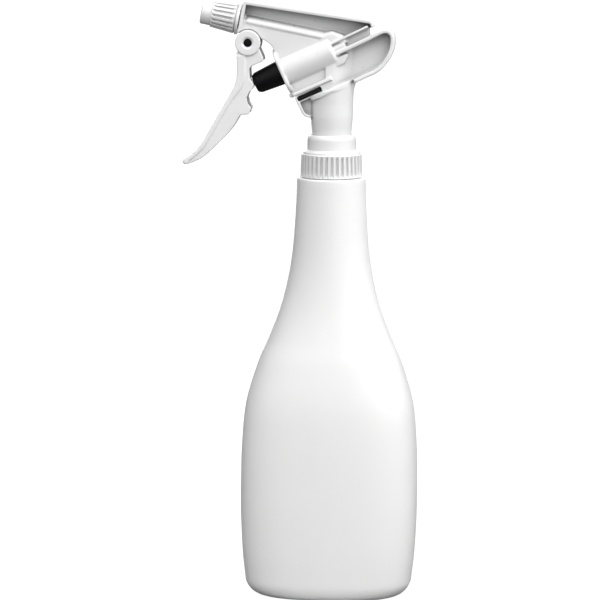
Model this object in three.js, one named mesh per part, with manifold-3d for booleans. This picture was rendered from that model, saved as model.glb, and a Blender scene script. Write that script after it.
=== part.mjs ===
// A trigger spray bottle: a moulded bottle, a screw cap and an open-frame trigger pump.
// Millimetres, +Z up. The bottle stands on z = 0 about the Z axis and the nozzle points to -X.
// Outlines in the X-Z plane are lists of [x, z]; turned profiles are lists of [radius, z].

import * as THREE from 'three';
import { mergeVertices } from 'three/addons/utils/BufferGeometryUtils.js';
import Module from 'manifold-3d';

const wasm = await Module();
wasm.setup();

// ---------------------------------------------------------------- driving dimensions

const GAP = 0.3; // between neighbouring pieces

const bottleSize = {
  shoulderHeight: 222.7,
  shoulderEdge: 0.8,
  wall: 1.3,
  baseCorner: 10,
  baseHalfWidth: 34.3, // of the flat base, inside its round corner
  neckTop: 233.4,
  neckRadius: 12.4,
  neckBore: 10.8,
  shoulderRadius: 18.1,
  fullHalfWidth: 46.9,
  fullHalfDepth: 30.1,
  squareness: 0.9, // added to the exponent 2 of a round section where the body is widest
};

// Half width of the bottle in front view, from the top of the base corner to the shoulder.
const bottleSide = [
  [44.3, 10], [45.7, 23], [46.8, 43], [46.9, 60], [46.4, 81], [44.2, 103], [38.1, 124],
  [32.5, 137], [26.2, 154], [22.1, 171], [19.8, 188], [18.5, 209], [18.1, 221.9],
];

const threadSize = { ridge: 1.2, pitch: 4.2, turns: 1.25, start: 226.5 };

const capSize = {
  bottom: 223.1,
  skirtTop: 235.3,
  stepTop: 237.2,
  top: 245.3,
  skirtRadius: 16.4,
  skirtTaper: 0.4,
  ribDepth: 0.5,
  ribs: 36,
  stepRadius: 15.2,
  collarRadius: 12.8,
  collarEdge: 2,
  cavityRadius: 14,
  cavityTop: 236.2,
  bore: 10.8,
};

const columnSize = {
  bottom: 236.2,
  bottomRadius: 10.4,
  taperFrom: 246,
  taperTo: 255,
  radius: 11.15,
  bore: 8.5,
  boreTop: 258,
  capRadius: 12.2,
  capThickness: 2,
};

const riser = { x: 1.4, radius: 2.9, bore: 1.5, bottom: 262, top: 284 };

// Half widths of the frame across Y, and the thickness of its rims in the X-Z plane.
const RIM_HALF = 7.3;
const WEB_HALF = 0.8;
const rimThickness = { main: 2.2, nose: 1.8, underNose: 1.6, gusset: 1.6, slot: 1.3, hook: 1.4 };
const fillHalf = { rearGusset: 5.5, foot: 5, panel: 4.6, shoulder: 3.4, riserFoot: 1.8 };

const pumpTilt = THREE.MathUtils.degToRad(24.5);
const pumpMouth = new THREE.Vector3(-26.6, 0, 277.9);
const pumpAxis = new THREE.Vector3(Math.cos(pumpTilt), 0, Math.sin(pumpTilt));
const pumpSize = {
  radius: 9,
  length: 30.4,
  bore: 7.2,
  boreDepth: 28.4,
  flangeRadius: 12,
  flangeHalf: 9.4,
  flangeThickness: 2,
  outletRadius: 1.2,
  valveRadius: 3.6,
  valveBore: 2.3,
  valveEnd: 37.2,
  plugRadius: 2.1,
  plugStart: 35.4,
  plugEnd: 39.8,
};

const pistonSize = {
  front: -15.35,
  back: 14,
  frontRadius: 5.6,
  mouthRadius: 6.6,
  noseEdge: 1.5,
  hollow: 4.6,
  hollowFrom: -8,
  sealRadius: 7.05,
  sealThickness: 1.2,
  grooveDepth: 1.5,
  sealWidth: 1.8,
  frontSeal: 10.5,
  rearSeal: 2.4,
};

const springSize = { from: -7.7, to: 28.1, radius: 3.6, wire: 0.5, turns: 9 };

const nozzleTilt = THREE.MathUtils.degToRad(11);
const nozzleSeat = new THREE.Vector3(-47.6, 0, 305.3);
const nozzleAxis = new THREE.Vector3(-Math.cos(nozzleTilt), 0, Math.sin(nozzleTilt));
const nozzleSize = {
  start: 1.4,
  flange: 1,
  ribLength: 13.8,
  length: 20.4,
  rearRadius: 8,
  frontRadius: 7.1,
  ribDepth: 0.5,
  ribs: 18,
  tipRadius: 6.4,
  tipEdge: 0.8,
  dishRadius: 2.4,
  dishDepth: 1.2,
  bore: 5.5,
  boreDepth: 14,
  chamber: 3,
  faceThickness: 3,
  orifice: 0.6,
};

const tubeSize = { radius: 3, bore: 1.3, back: 46.5 };
const postSize = {
  radius: 4.5,
  length: 12.6,
  pocket: 3.3,
  pocketDepth: 5.2,
  thread: { wire: 0.5, from: 3, to: 9, turns: 3 },
};
const nozzleSealSize = { outer: 5.1, inner: 3.4, thickness: 1.4 };

// The slanting passage from the pump's valve chamber up to the discharge tube.
const elbow = { foot: new THREE.Vector3(2.4, 0, 291.2), radius: 3.4, bore: 1.1 };

const pivot = { x: -44.1, z: 293.6 };
const triggerSize = {
  half: 7.4,
  channel: 5,
  earRadius: 6.7,
  earHalf: 7.9,
  band: 2.4,
  pinRadius: 2,
  pinHalf: 7.3,
  fit: 0.2,
};
const lug = { radius: 5, half: 4.6, earClearance: 0.5 };

const valveSize = {
  ballRadius: 2.4,
  seatRadius: 1.6,
  seat: 249,
  chamber: 3.2,
  top: 256.5,
  socketTop: 247,
  socketRadius: 2.95,
  flangeRadius: 13,
  flangeBottom: 235,
  flangeTop: 235.9,
  sleeveRadius: 4.3,
  sleeveBottom: 229,
  bar: 1.2,
};

const ventSize = { thickness: 2.3, half: 5.6 };

const dipTube = { radius: 2.7, bore: 1.9, bottom: 12 };
const filter = { radius: 4.4, bottom: 6, top: 19, wall: 0.8, floor: 2, slot: 1.1, slotHeight: 3.6 };
const dischargeBall = 1.8;
const SEAT_PLAY = 0.06; // between a ball and the edge that it rests on

// ---------------------------------------------------------------- shapes

function asSolid(shape) {
  if (!shape.isBufferGeometry) return shape;
  const bare = shape.clone();
  bare.deleteAttribute('normal');
  bare.deleteAttribute('uv');
  const merged = mergeVertices(bare, 1e-4);
  return new wasm.Manifold(new wasm.Mesh({
    numProp: 3,
    vertProperties: new Float32Array(merged.attributes.position.array),
    triVerts: new Uint32Array(merged.index.array),
  }));
}

function join(first, ...others) {
  return others.reduce((sum, other) => sum.add(asSolid(other)), asSolid(first));
}

function cut(first, ...tools) {
  return tools.reduce((rest, tool) => rest.subtract(asSolid(tool)), asSolid(first));
}

function asGeometry(shape) {
  if (shape.isBufferGeometry) return shape;
  const mesh = shape.getMesh();
  const geometry = new THREE.BufferGeometry();
  geometry.setAttribute('position', new THREE.BufferAttribute(mesh.vertProperties, 3));
  geometry.setIndex(new THREE.BufferAttribute(mesh.triVerts, 1));
  geometry.computeVertexNormals();
  return geometry;
}

// A solid of revolution about Z from a profile of [radius, z] that starts and ends on the axis
// or comes back to its first point.
function turned(profile, sides = 32) {
  const points = profile.map(([radius, z]) => new THREE.Vector2(radius, z));
  return new THREE.LatheGeometry(points, sides).rotateX(Math.PI / 2);
}

function rod(radius, from, to, sides = 24) {
  return turned([[0, from], [radius, from], [radius, to], [0, to]], sides);
}

function ring(outer, inner, from, to, sides = 32) {
  return turned([[inner, from], [outer, from], [outer, to], [inner, to], [inner, from]], sides);
}

// A slab across the X-Z plane, reaching half to each side of it.
function plate(outline, half) {
  const shape = new THREE.Shape(outline.map(([x, z]) => new THREE.Vector2(x, z)));
  const slab = new THREE.ExtrudeGeometry(shape, { depth: 2 * half, bevelEnabled: false });
  return slab.rotateX(Math.PI / 2).translate(0, half, 0);
}

function smooth(points, steps) {
  const curve = new THREE.SplineCurve(points.map(([x, z]) => new THREE.Vector2(x, z)));
  return curve.getPoints(steps).map((p) => [p.x, p.y]);
}

// The outline of a wall of even thickness that follows a path.
function strip(path, thickness) {
  const sides = [[], []];
  path.forEach(([x, z], i) => {
    const [x0, z0] = path[Math.max(i - 1, 0)];
    const [x1, z1] = path[Math.min(i + 1, path.length - 1)];
    const length = Math.hypot(x1 - x0, z1 - z0);
    const across = [(z0 - z1) / length, (x1 - x0) / length];
    const half = thickness / 2;
    sides[0].push([x + across[0] * half, z + across[1] * half]);
    sides[1].unshift([x - across[0] * half, z - across[1] * half]);
  });
  return [...sides[1], ...sides[0]];
}

// Moves a shape built along +Z so that it starts at a point and runs along a direction.
function aim(geometry, start, direction) {
  const turn = new THREE.Quaternion().setFromUnitVectors(new THREE.Vector3(0, 0, 1), direction);
  return geometry.applyQuaternion(turn).translate(start.x, start.y, start.z);
}

const inPump = (geometry) => aim(geometry, pumpMouth, pumpAxis);
const inNozzle = (geometry) => aim(geometry, nozzleSeat, nozzleAxis);

// A gear-like outline of square ribs round a circle, extruded along Z with a taper.
function ribbed({ radius, endRadius, ribDepth, ribs, from, to }) {
  const outline = [];
  for (let rib = 0; rib < ribs; rib += 1) {
    for (const [share, depth] of [[0, 0], [0.5, 0], [0.6, ribDepth], [0.9, ribDepth]]) {
      const angle = ((rib + share) / ribs) * 2 * Math.PI;
      const at = radius - depth;
      outline.push(new THREE.Vector2(at * Math.cos(angle), at * Math.sin(angle)));
    }
  }
  const shape = new THREE.Shape(outline);
  const prism = new THREE.ExtrudeGeometry(shape, { depth: to - from, bevelEnabled: false });
  prism.translate(0, 0, from);
  const places = prism.attributes.position;
  for (let i = 0; i < places.count; i += 1) {
    if (places.getZ(i) < (from + to) / 2) continue;
    places.setX(i, (places.getX(i) * endRadius) / radius);
    places.setY(i, (places.getY(i) * endRadius) / radius);
  }
  return prism;
}

class Helix extends THREE.Curve {
  constructor(radius, from, to, turns) {
    super();
    Object.assign(this, { radius, from, to, turns });
  }

  getPoint(share, target = new THREE.Vector3()) {
    const angle = share * this.turns * 2 * Math.PI;
    const z = this.from + share * (this.to - this.from);
    return target.set(this.radius * Math.cos(angle), this.radius * Math.sin(angle), z);
  }
}

function coil(helix, wireRadius, stepsPerTurn, sides) {
  const section = new THREE.Shape();
  for (let i = 0; i < sides; i += 1) {
    const angle = (i / sides) * 2 * Math.PI;
    const point = [wireRadius * Math.cos(angle), wireRadius * Math.sin(angle)];
    if (i === 0) section.moveTo(...point);
    else section.lineTo(...point);
  }
  section.closePath();
  const steps = Math.round(helix.turns * stepsPerTurn);
  return new THREE.ExtrudeGeometry(section, { steps, bevelEnabled: false, extrudePath: helix });
}

// ---------------------------------------------------------------- bottle

// One level of the bottle: a superellipse that is round at the neck and squarer at the body.
function bottleLevel(halfWidth, z, inset = 0) {
  const { shoulderRadius, fullHalfWidth, fullHalfDepth, squareness } = bottleSize;
  const share = Math.max(0, (halfWidth - shoulderRadius) / (fullHalfWidth - shoulderRadius));
  const halfDepth = halfWidth - share * (fullHalfWidth - fullHalfDepth);
  return { a: halfWidth - inset, b: halfDepth - inset, power: 2 + squareness * share, z };
}

const roundLevel = (radius, z) => ({ a: radius, b: radius, power: 2, z });

function levelPoint({ a, b, power, z }, angle) {
  const c = Math.cos(angle);
  const s = Math.sin(angle);
  const x = a * Math.sign(c) * Math.abs(c) ** (2 / power);
  const y = b * Math.sign(s) * Math.abs(s) ** (2 / power);
  return [x, y, z];
}

// A closed skin through the levels, with a flat fan over the first and the last.
function loft(levels, sides) {
  const position = [];
  const index = [];
  for (const level of levels) {
    for (let i = 0; i < sides; i += 1) {
      position.push(...levelPoint(level, (i / sides) * 2 * Math.PI));
    }
  }
  for (let row = 0; row + 1 < levels.length; row += 1) {
    for (let i = 0; i < sides; i += 1) {
      const a = row * sides + i;
      const b = row * sides + ((i + 1) % sides);
      index.push(a, b, b + sides, a, b + sides, a + sides);
    }
  }
  const last = (levels.length - 1) * sides;
  const [firstHub, lastHub] = [levels.length * sides, levels.length * sides + 1];
  position.push(0, 0, levels[0].z, 0, 0, levels.at(-1).z);
  for (let i = 0; i < sides; i += 1) {
    const next = (i + 1) % sides;
    index.push(firstHub, next, i, lastHub, last + i, last + next);
  }
  const geometry = new THREE.BufferGeometry();
  geometry.setAttribute('position', new THREE.Float32BufferAttribute(position, 3));
  geometry.setIndex(index);
  return geometry;
}

function bottleOutside() {
  const { baseHalfWidth, baseCorner, shoulderHeight, shoulderEdge, shoulderRadius } = bottleSize;
  const corner = [];
  for (let step = 0; step < 4; step += 1) {
    const angle = (step / 4) * (Math.PI / 2);
    const halfWidth = baseHalfWidth + baseCorner * Math.sin(angle);
    corner.push([halfWidth, baseCorner * (1 - Math.cos(angle))]);
  }
  const side = [...corner, ...smooth(bottleSide, 16)];
  return [
    ...side.map(([halfWidth, z]) => bottleLevel(halfWidth, z)),
    roundLevel(shoulderRadius - shoulderEdge, shoulderHeight),
  ];
}

function bottle() {
  const { wall, neckRadius, neckTop, neckBore, shoulderHeight } = bottleSize;
  const outside = bottleOutside();
  const inside = outside.slice(1, -1).map((level) => ({
    a: level.a - wall,
    b: level.b - wall,
    power: level.power,
    z: Math.min(Math.max(level.z, wall), shoulderHeight - wall),
  }));
  const neck = [
    roundLevel(neckRadius, shoulderHeight),
    roundLevel(neckRadius, neckTop),
    roundLevel(neckBore, neckTop),
    roundLevel(neckBore, shoulderHeight - wall),
  ];
  const shell = loft([...outside, ...neck, ...inside.reverse()], 40);
  const { ridge, pitch, turns, start } = threadSize;
  const thread = coil(new Helix(neckRadius, start, start + pitch * turns, turns), ridge, 16, 6);
  return join(shell, thread);
}

// ---------------------------------------------------------------- screw cap and its seal

function screwCap() {
  const size = capSize;
  const skirt = ribbed({
    radius: size.skirtRadius,
    endRadius: size.skirtRadius - size.skirtTaper,
    ribDepth: size.ribDepth,
    ribs: size.ribs,
    from: size.bottom,
    to: size.skirtTop,
  });
  const edge = size.collarRadius - size.collarEdge;
  const crown = turned([
    [0, size.skirtTop - 1], [size.stepRadius, size.skirtTop - 1], [size.stepRadius, size.stepTop],
    [size.collarRadius, size.stepTop], [size.collarRadius, size.top - size.collarEdge],
    [edge + 1.4, size.top - 0.6], [edge, size.top], [0, size.top],
  ], 48);
  const cavity = rod(size.cavityRadius, size.bottom - 1, size.cavityTop, 48);
  const bore = rod(size.bore, size.cavityTop - 1, size.top + 1, 48);
  return cut(join(skirt, crown), cavity, bore);
}

function neckGasket() {
  const top = valveSize.flangeBottom - GAP;
  return ring(bottleSize.neckRadius, valveSize.sleeveRadius + GAP, bottleSize.neckTop + GAP, top);
}

// ---------------------------------------------------------------- sprayer frame

const noseTop = [-45.7, 314.8];
const noseFoot = [-48.8, 298.7];
const railEnd = [20.8, 305.5];
const hookFoot = [21.5, 302.5];
const underNose = [[-38.2, 297.4], [-36.2, 296.4], [-32.3, 294]];
const mouthNotch = [[-30.3, 291.6], [-31.6, 289.2]];
const slotAbove = [[-0.6, 293.4], [19, 303]];
const tailCurve = [
  [19.8, 296.9], [27.2, 300.5], [30.9, 299.6], [32.2, 296], [31.2, 289.9], [27.9, 283.7],
  [23.6, 279.7], [18, 276.9], [12, 274],
];
const tailRim = [[2, 288.2], ...smooth(tailCurve, 18)];
const ledge = [[-20.3, 266.4], [0, 275.6]];
const gussetRim = [[-18.6, 265.4], [-14.7, 257.4], [-13.4, 255.9], [-10.6, 255.2]];
const rearGusset = [[4, 286.4], [9.8, 289.6], [7, 283.4], [4.2, 282.6]];
const ventSlot = [[-17.7, 264.3], [-4.3, 270.4]];
const columnCap = [[-10.9, 264.6], [13, 274.6]];
const noseBlock = [noseFoot, [-47.6, 308], [-38.8, 306.2], [-37.4, 297], [-44.7, 293.8]];
const shoulder = [
  [-41, 303], [-41, 297], underNose[1], underNose[2], mouthNotch[0], [-26, 284], [0, 292],
  [-3.4, 294.8],
];
const panel = [[-21.6, 266.6], [-4.2, 274.6], [-4.2, 282], [-24, 276]];
const foot = [[-22.6, 266.6], [-21.9, 265], [-20.1, 264.8], [-19.6, 266.8]];
const riserFoot = [[2, 281], [4.2, 281], [9.5, 273.6], [2, 270]];

// The thin wall down the middle of the frame, out to the rims.
function web() {
  const outline = [
    noseTop, railEnd, hookFoot, [19.5, 301.6], ...tailRim.slice(1), [-9.5, 264.5], [-9.5, 255.6],
    ...gussetRim.slice(0, 3).reverse(), ledge[0], [-30, 284.2], mouthNotch[1], mouthNotch[0],
    underNose[2], underNose[1], underNose[0], noseFoot,
  ];
  return plate(outline, WEB_HALF);
}

function rims() {
  const rim = (path, thickness) => plate(strip(path, thickness), RIM_HALF);
  return [
    rim([noseTop, railEnd], rimThickness.main),
    rim(tailRim, rimThickness.main),
    rim(ledge, rimThickness.main),
    rim([railEnd, hookFoot], rimThickness.hook),
    rim([noseFoot, noseTop], rimThickness.nose),
    rim([...underNose, mouthNotch[0]], rimThickness.underNose),
    rim(slotAbove, rimThickness.slot),
    rim(gussetRim, rimThickness.gusset),
  ];
}

// The thicker places between the rims, each an even plate.
function fills() {
  return [
    plate(shoulder, fillHalf.shoulder),
    plate(panel, fillHalf.panel),
    plate(foot, fillHalf.foot),
    plate(riserFoot, fillHalf.riserFoot),
    plate(rearGusset, fillHalf.rearGusset),
  ];
}

// Turns a shape made along Z about the origin so that it lies along Y on the trigger's pivot.
function atPivot(geometry) {
  return geometry.rotateX(Math.PI / 2).translate(pivot.x, 0, pivot.z);
}

// The solid nose behind the nozzle, with the lug that the trigger hangs on.
function nose() {
  return join(plate(noseBlock, RIM_HALF), atPivot(rod(lug.radius, -lug.half, lug.half)));
}

// The round space beside the lug, at one side, that an ear of the trigger turns in.
function earRecess(side) {
  const radius = triggerSize.earRadius + lug.earClearance;
  const [low, high] = [lug.half, RIM_HALF + 1].map((reach) => side * reach).sort((a, b) => a - b);
  return atPivot(rod(radius, low, high, 32));
}

function pinHole() {
  return atPivot(rod(triggerSize.pinRadius + triggerSize.fit, -10, 10));
}

function column() {
  const size = columnSize;
  const shaft = turned([
    [0, size.bottom], [size.bottomRadius, size.bottom], [size.bottomRadius, size.taperFrom],
    [size.radius, size.taperTo], [size.radius, 280], [0, 280],
  ], 36);
  const [[x0, z0], [x1, z1]] = columnCap;
  const rise = (z1 - z0) / (x1 - x0);
  const capLine = (x) => [x, z0 + (x - x0) * rise];
  const above = plate([capLine(-30), capLine(30), [30, 330], [-30, 330]], 20);
  const cap = plate(strip(columnCap, size.capThickness), size.capRadius);
  const within = asSolid(rod(size.capRadius, size.taperTo - 5, 290, 36));
  return join(cut(shaft, above), asSolid(cap).intersect(within));
}

// The round plate at the pump's mouth, flattened at both sides.
function mouthFlange() {
  const disc = asSolid(inPump(rod(pumpSize.flangeRadius, 0, pumpSize.flangeThickness, 32)));
  const band = plate([[-60, 250], [10, 250], [10, 300], [-60, 300]], pumpSize.flangeHalf);
  return disc.intersect(asSolid(band));
}

function elbowRun() {
  const run = nozzleSeat.clone().addScaledVector(nozzleAxis, 1.5 - tubeSize.back).sub(elbow.foot);
  return { length: run.length(), direction: run.normalize() };
}

function sprayerBody() {
  const pump = pumpSize;
  const { thread } = postSize;
  const { length, direction } = elbowRun();
  const threadHelix = new Helix(postSize.radius, thread.from, thread.to, thread.turns);
  const solid = join(
    web(), ...rims(), ...fills(), nose(), column(), mouthFlange(),
    inPump(rod(pump.radius, 0, pump.length, 32)),
    inPump(rod(pump.valveRadius, pump.length - 1, pump.valveEnd)),
    inNozzle(rod(tubeSize.radius, -tubeSize.back, 0)),
    inNozzle(rod(postSize.radius, -2, postSize.length)),
    inNozzle(coil(threadHelix, thread.wire, 12, 5)),
    aim(rod(elbow.radius, 0, length + 2, 20), elbow.foot, direction),
    rod(riser.radius, riser.bottom, riser.top, 20).translate(riser.x, 0, 0),
  );
  return cut(
    solid,
    inPump(rod(pump.bore, -3, pump.boreDepth, 32)),
    inPump(rod(pump.outletRadius, pump.boreDepth - 1, pump.length + 1, 12)),
    inPump(rod(pump.valveBore, pump.length, pump.valveEnd + 4, 16)),
    inNozzle(rod(tubeSize.bore, 1 - tubeSize.back, postSize.length, 12)),
    inNozzle(rod(postSize.pocket, postSize.length - postSize.pocketDepth, 20, 20)),
    aim(rod(elbow.bore, 0.5, length, 12), elbow.foot, direction),
    rod(columnSize.bore, columnSize.bottom - 1, columnSize.boreTop, 32),
    rod(riser.bore, columnSize.boreTop - 1, riser.top, 12).translate(riser.x, 0, 0),
    plate(strip(ventSlot, ventSize.thickness + 2 * GAP), RIM_HALF + 1),
    earRecess(1),
    earRecess(-1),
    pinHole(),
  );
}

function ventSeal() {
  const [[x0, z0], [x1, z1]] = ventSlot;
  const share = GAP / Math.hypot(x1 - x0, z1 - z0);
  const [dx, dz] = [(x1 - x0) * share, (z1 - z0) * share];
  const inset = [[x0 + dx, z0 + dz], [x1 - dx, z1 - dz]];
  return plate(strip(inset, ventSize.thickness), ventSize.half);
}

// ---------------------------------------------------------------- intake valve and dip tube

function tubeRetainer() {
  const size = valveSize;
  const body = turned([
    [0, size.sleeveBottom], [size.sleeveRadius, size.sleeveBottom],
    [size.sleeveRadius, size.flangeBottom], [size.flangeRadius, size.flangeBottom],
    [size.flangeRadius, size.flangeTop], [columnSize.bore - GAP, size.flangeTop],
    [columnSize.bore - GAP, size.top], [0, size.top],
  ]);
  const bore = turned([
    [0, size.sleeveBottom - 1], [size.socketRadius, size.sleeveBottom - 1],
    [size.socketRadius, size.socketTop], [size.seatRadius, size.socketTop],
    [size.seatRadius, size.seat], [size.chamber, size.seat], [size.chamber, size.top + 1],
    [0, size.top + 1],
  ], 24);
  const bar = new THREE.BoxGeometry(size.bar, 2 * size.chamber + 1, size.bar);
  bar.translate(0, 0, size.top - size.bar / 2);
  return join(cut(body, bore), bar);
}

function ball(radius) {
  return new THREE.SphereGeometry(radius, 14, 8);
}

// How high the centre of a ball is above the edge of the round hole that it rests on.
function ballOn(radius, hole) {
  return Math.sqrt(radius ** 2 - hole ** 2) + SEAT_PLAY;
}

function dipTubeShape() {
  const top = valveSize.socketTop - GAP;
  return ring(dipTube.radius, dipTube.bore, dipTube.bottom, top, 16);
}

// A thimble over the end of the dip tube, with slots that the liquid is drawn through.
function tubeFilter() {
  const { radius, bottom, top, wall, floor } = filter;
  const sleeve = dipTube.radius + 0.2;
  const shell = turned([
    [0, bottom], [radius - 1, bottom], [radius, bottom + 1], [radius, top], [sleeve, top],
    [sleeve, top - 5], [radius - wall, top - 6], [radius - wall, bottom + floor],
    [0, bottom + floor],
  ], 24);
  const slots = [0, 1, 2, 3].map((turn) => {
    const slot = new THREE.BoxGeometry(2 * radius + 2, filter.slot, filter.slotHeight);
    return slot.translate(0, 0, bottom + 4.4).rotateZ((turn * Math.PI) / 4);
  });
  return cut(shell, ...slots);
}

// ---------------------------------------------------------------- pump

function piston() {
  const { front, back, frontRadius, mouthRadius, noseEdge, hollow, hollowFrom } = pistonSize;
  const floor = pistonSize.sealRadius - pistonSize.grooveDepth;
  const grooves = [pistonSize.rearSeal, pistonSize.frontSeal].flatMap((at) => {
    const [low, high] = [at - GAP, at + pistonSize.sealWidth + GAP];
    return [[mouthRadius, low], [floor, low], [floor, high], [mouthRadius, high]];
  });
  return turned([
    [0, front], [frontRadius - noseEdge, front], [frontRadius, front + noseEdge], [mouthRadius, 0],
    ...grooves, [mouthRadius, back], [hollow, back], [hollow, hollowFrom], [0, hollowFrom],
  ]);
}

function pistonSeal(at) {
  const { sealRadius, sealThickness, sealWidth } = pistonSize;
  return ring(sealRadius, sealRadius - sealThickness, at, at + sealWidth);
}

function returnSpring() {
  const { from, to, radius, wire, turns } = springSize;
  return coil(new Helix(radius, from + wire, to - wire, turns), wire, 9, 5);
}

function valvePlug() {
  return rod(pumpSize.plugRadius, pumpSize.plugStart, pumpSize.plugEnd, 20);
}

// ---------------------------------------------------------------- nozzle

function nozzle() {
  const size = nozzleSize;
  const end = size.start + size.length;
  const ribEnd = size.start + size.flange + size.ribLength;
  const flange = rod(size.rearRadius + 0.2, size.start, size.start + size.flange, 40);
  const grip = ribbed({
    radius: size.rearRadius,
    endRadius: size.frontRadius,
    ribDepth: size.ribDepth,
    ribs: size.ribs,
    from: size.start + size.flange,
    to: ribEnd,
  });
  const dishFloor = end - size.dishDepth;
  const tip = turned([
    [0, ribEnd - 1], [size.tipRadius, ribEnd - 1], [size.tipRadius, end - size.tipEdge],
    [size.tipRadius - size.tipEdge, end], [size.dishRadius, end], [size.dishRadius - 1, dishFloor],
    [0, dishFloor],
  ], 36);
  const bore = rod(size.bore, size.start - 1, size.start + size.boreDepth, 28);
  const chamberTop = end - size.faceThickness;
  const chamber = rod(size.chamber, size.start + size.boreDepth - 1, chamberTop, 20);
  const orifice = rod(size.orifice, chamberTop - 1, end + 1, 10);
  return cut(join(flange, grip, tip), bore, chamber, orifice);
}

function nozzleSeal() {
  const at = postSize.length + GAP;
  const { outer, inner, thickness } = nozzleSealSize;
  return ring(outer, inner, at, at + thickness, 28);
}

function swirlInsert() {
  const from = postSize.length - postSize.pocketDepth + GAP;
  const body = rod(postSize.pocket - 0.2, from, postSize.length + 0.2, 20);
  const grooves = [0, 1, 2].map((third) => {
    const groove = new THREE.BoxGeometry(0.9, 1.6, 12);
    groove.translate(0, postSize.pocket, postSize.length);
    return groove.rotateZ((third * 2 * Math.PI) / 3);
  });
  return cut(body, ...grooves);
}

// ---------------------------------------------------------------- trigger

const triggerFront = [
  [-50, 290.5], [-49.8, 283], [-49.8, 276.5], [-51.1, 270.8], [-55.7, 262.3], [-62.3, 250.8],
  [-68, 240.7], [-73, 235.3], [-78.4, 230.6],
];
const triggerBack = [
  [-76.6, 229], [-72.9, 230.2], [-67, 233.3], [-59.6, 240.2], [-52.9, 247.4], [-48.6, 254.3],
];
const triggerTooth = [[-47.7, 255.5], [-43.4, 256], [-42.2, 259.3], [-44, 261.7], [-44.6, 264.9]];
const triggerNose = [[-43.4, 267.7], [-41.7, 269.2], [-40.7, 271], [-41.5, 272.8], [-42.9, 274.7]];
const triggerLobe = [
  [-43.1, 280.2], [-42, 281.3], [-36, 284.1], [-35.8, 285.3], [-37, 288.4], [-38.4, 291.3],
];

// A channel of two cheeks behind a front band, closed by a cross wall that pushes the piston.
function trigger() {
  const { half, channel, earRadius, earHalf, band } = triggerSize;
  const outline = [...triggerFront, ...triggerBack, ...triggerTooth, ...triggerNose, ...triggerLobe];
  const cheeks = plate(outline, half);
  const ears = atPivot(rod(earRadius, -earHalf, earHalf, 36));
  const bandBack = triggerFront.slice(3, -1).map(([x, z]) => [x + band, z]);
  const lowerChannel = [...bandBack, [-72, 226], [-40, 226], [-40, 266], [-46, 266]];
  const stemBack = triggerFront[1][0] + band;
  const upperChannel = [
    [stemBack, 276.6], [stemBack, 285.6], [-54, 286.2], [-54, 303], [-34, 303], [-34, 277.3],
    [-41.4, 276],
  ];
  return cut(
    join(cheeks, ears), plate(lowerChannel, channel), plate(upperChannel, channel), pinHole(),
  );
}

function pivotPin() {
  return atPivot(rod(triggerSize.pinRadius, -triggerSize.pinHalf, triggerSize.pinHalf));
}

// ---------------------------------------------------------------- assembly

const satinWhite = { color: 0xf1f1ee, roughness: 0.45, metalness: 0 };
const glossWhite = { color: 0xfafafa, roughness: 0.3, metalness: 0 };
const triggerGrey = { color: 0xe2e2e2, roughness: 0.35, metalness: 0 };
const black = { color: 0x101010, roughness: 0.5, metalness: 0 };
const clear = { color: 0xe6ebec, roughness: 0.2, metalness: 0 };
const steel = { color: 0xb8b8b8, roughness: 0.25, metalness: 1 };

const sprayBottle = new THREE.Group();

function add(parent, name, shape, look) {
  const mesh = new THREE.Mesh(asGeometry(shape), new THREE.MeshStandardMaterial(look));
  mesh.name = name;
  parent.add(mesh);
  return mesh;
}

function axisGroup(start, direction) {
  const group = new THREE.Group();
  group.position.copy(start);
  group.quaternion.setFromUnitVectors(new THREE.Vector3(0, 0, 1), direction);
  sprayBottle.add(group);
  return group;
}

add(sprayBottle, 'bottle', bottle(), satinWhite);
add(sprayBottle, 'screw_cap', screwCap(), glossWhite);
add(sprayBottle, 'neck_gasket', neckGasket(), black);
add(sprayBottle, 'sprayer_body', sprayerBody(), glossWhite);
add(sprayBottle, 'vent_seal', ventSeal(), black);
add(sprayBottle, 'tube_retainer', tubeRetainer(), clear);
add(sprayBottle, 'dip_tube', dipTubeShape(), clear);
add(sprayBottle, 'tube_filter', tubeFilter(), clear);
add(sprayBottle, 'trigger', trigger(), triggerGrey);
add(sprayBottle, 'pivot_pin', pivotPin(), black);
const intake = add(sprayBottle, 'intake_ball', ball(valveSize.ballRadius), steel);
intake.position.z = valveSize.seat + ballOn(valveSize.ballRadius, valveSize.seatRadius);

const pump = axisGroup(pumpMouth, pumpAxis);
add(pump, 'piston', piston(), black);
add(pump, 'piston_front_seal', pistonSeal(pistonSize.frontSeal), clear);
add(pump, 'piston_rear_seal', pistonSeal(pistonSize.rearSeal), clear);
add(pump, 'return_spring', returnSpring(), steel);
add(pump, 'valve_plug', valvePlug(), glossWhite);
const outlet = add(pump, 'discharge_ball', ball(dischargeBall), steel);
outlet.position.z = pumpSize.length + ballOn(dischargeBall, pumpSize.outletRadius);

const front = axisGroup(nozzleSeat, nozzleAxis);
add(front, 'nozzle', nozzle(), glossWhite);
add(front, 'nozzle_seal', nozzleSeal(), black);
add(front, 'swirl_insert', swirlInsert(), glossWhite);

export default sprayBottle;
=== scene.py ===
"""A trigger spray bottle in Blender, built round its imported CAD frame.

Shapes are written in millimetres in the part's frame: +Z is up, the bottle stands on z = 0 and the
nozzle points to -X. Outlines are lists of (x, z) or (x, z, corner radius) in the X-Z plane, and
turned profiles are lists of (radius, z) or (radius, z, corner radius).
"""

import math

import bmesh
import bpy
from mathutils import Matrix, Quaternion, Vector


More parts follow.
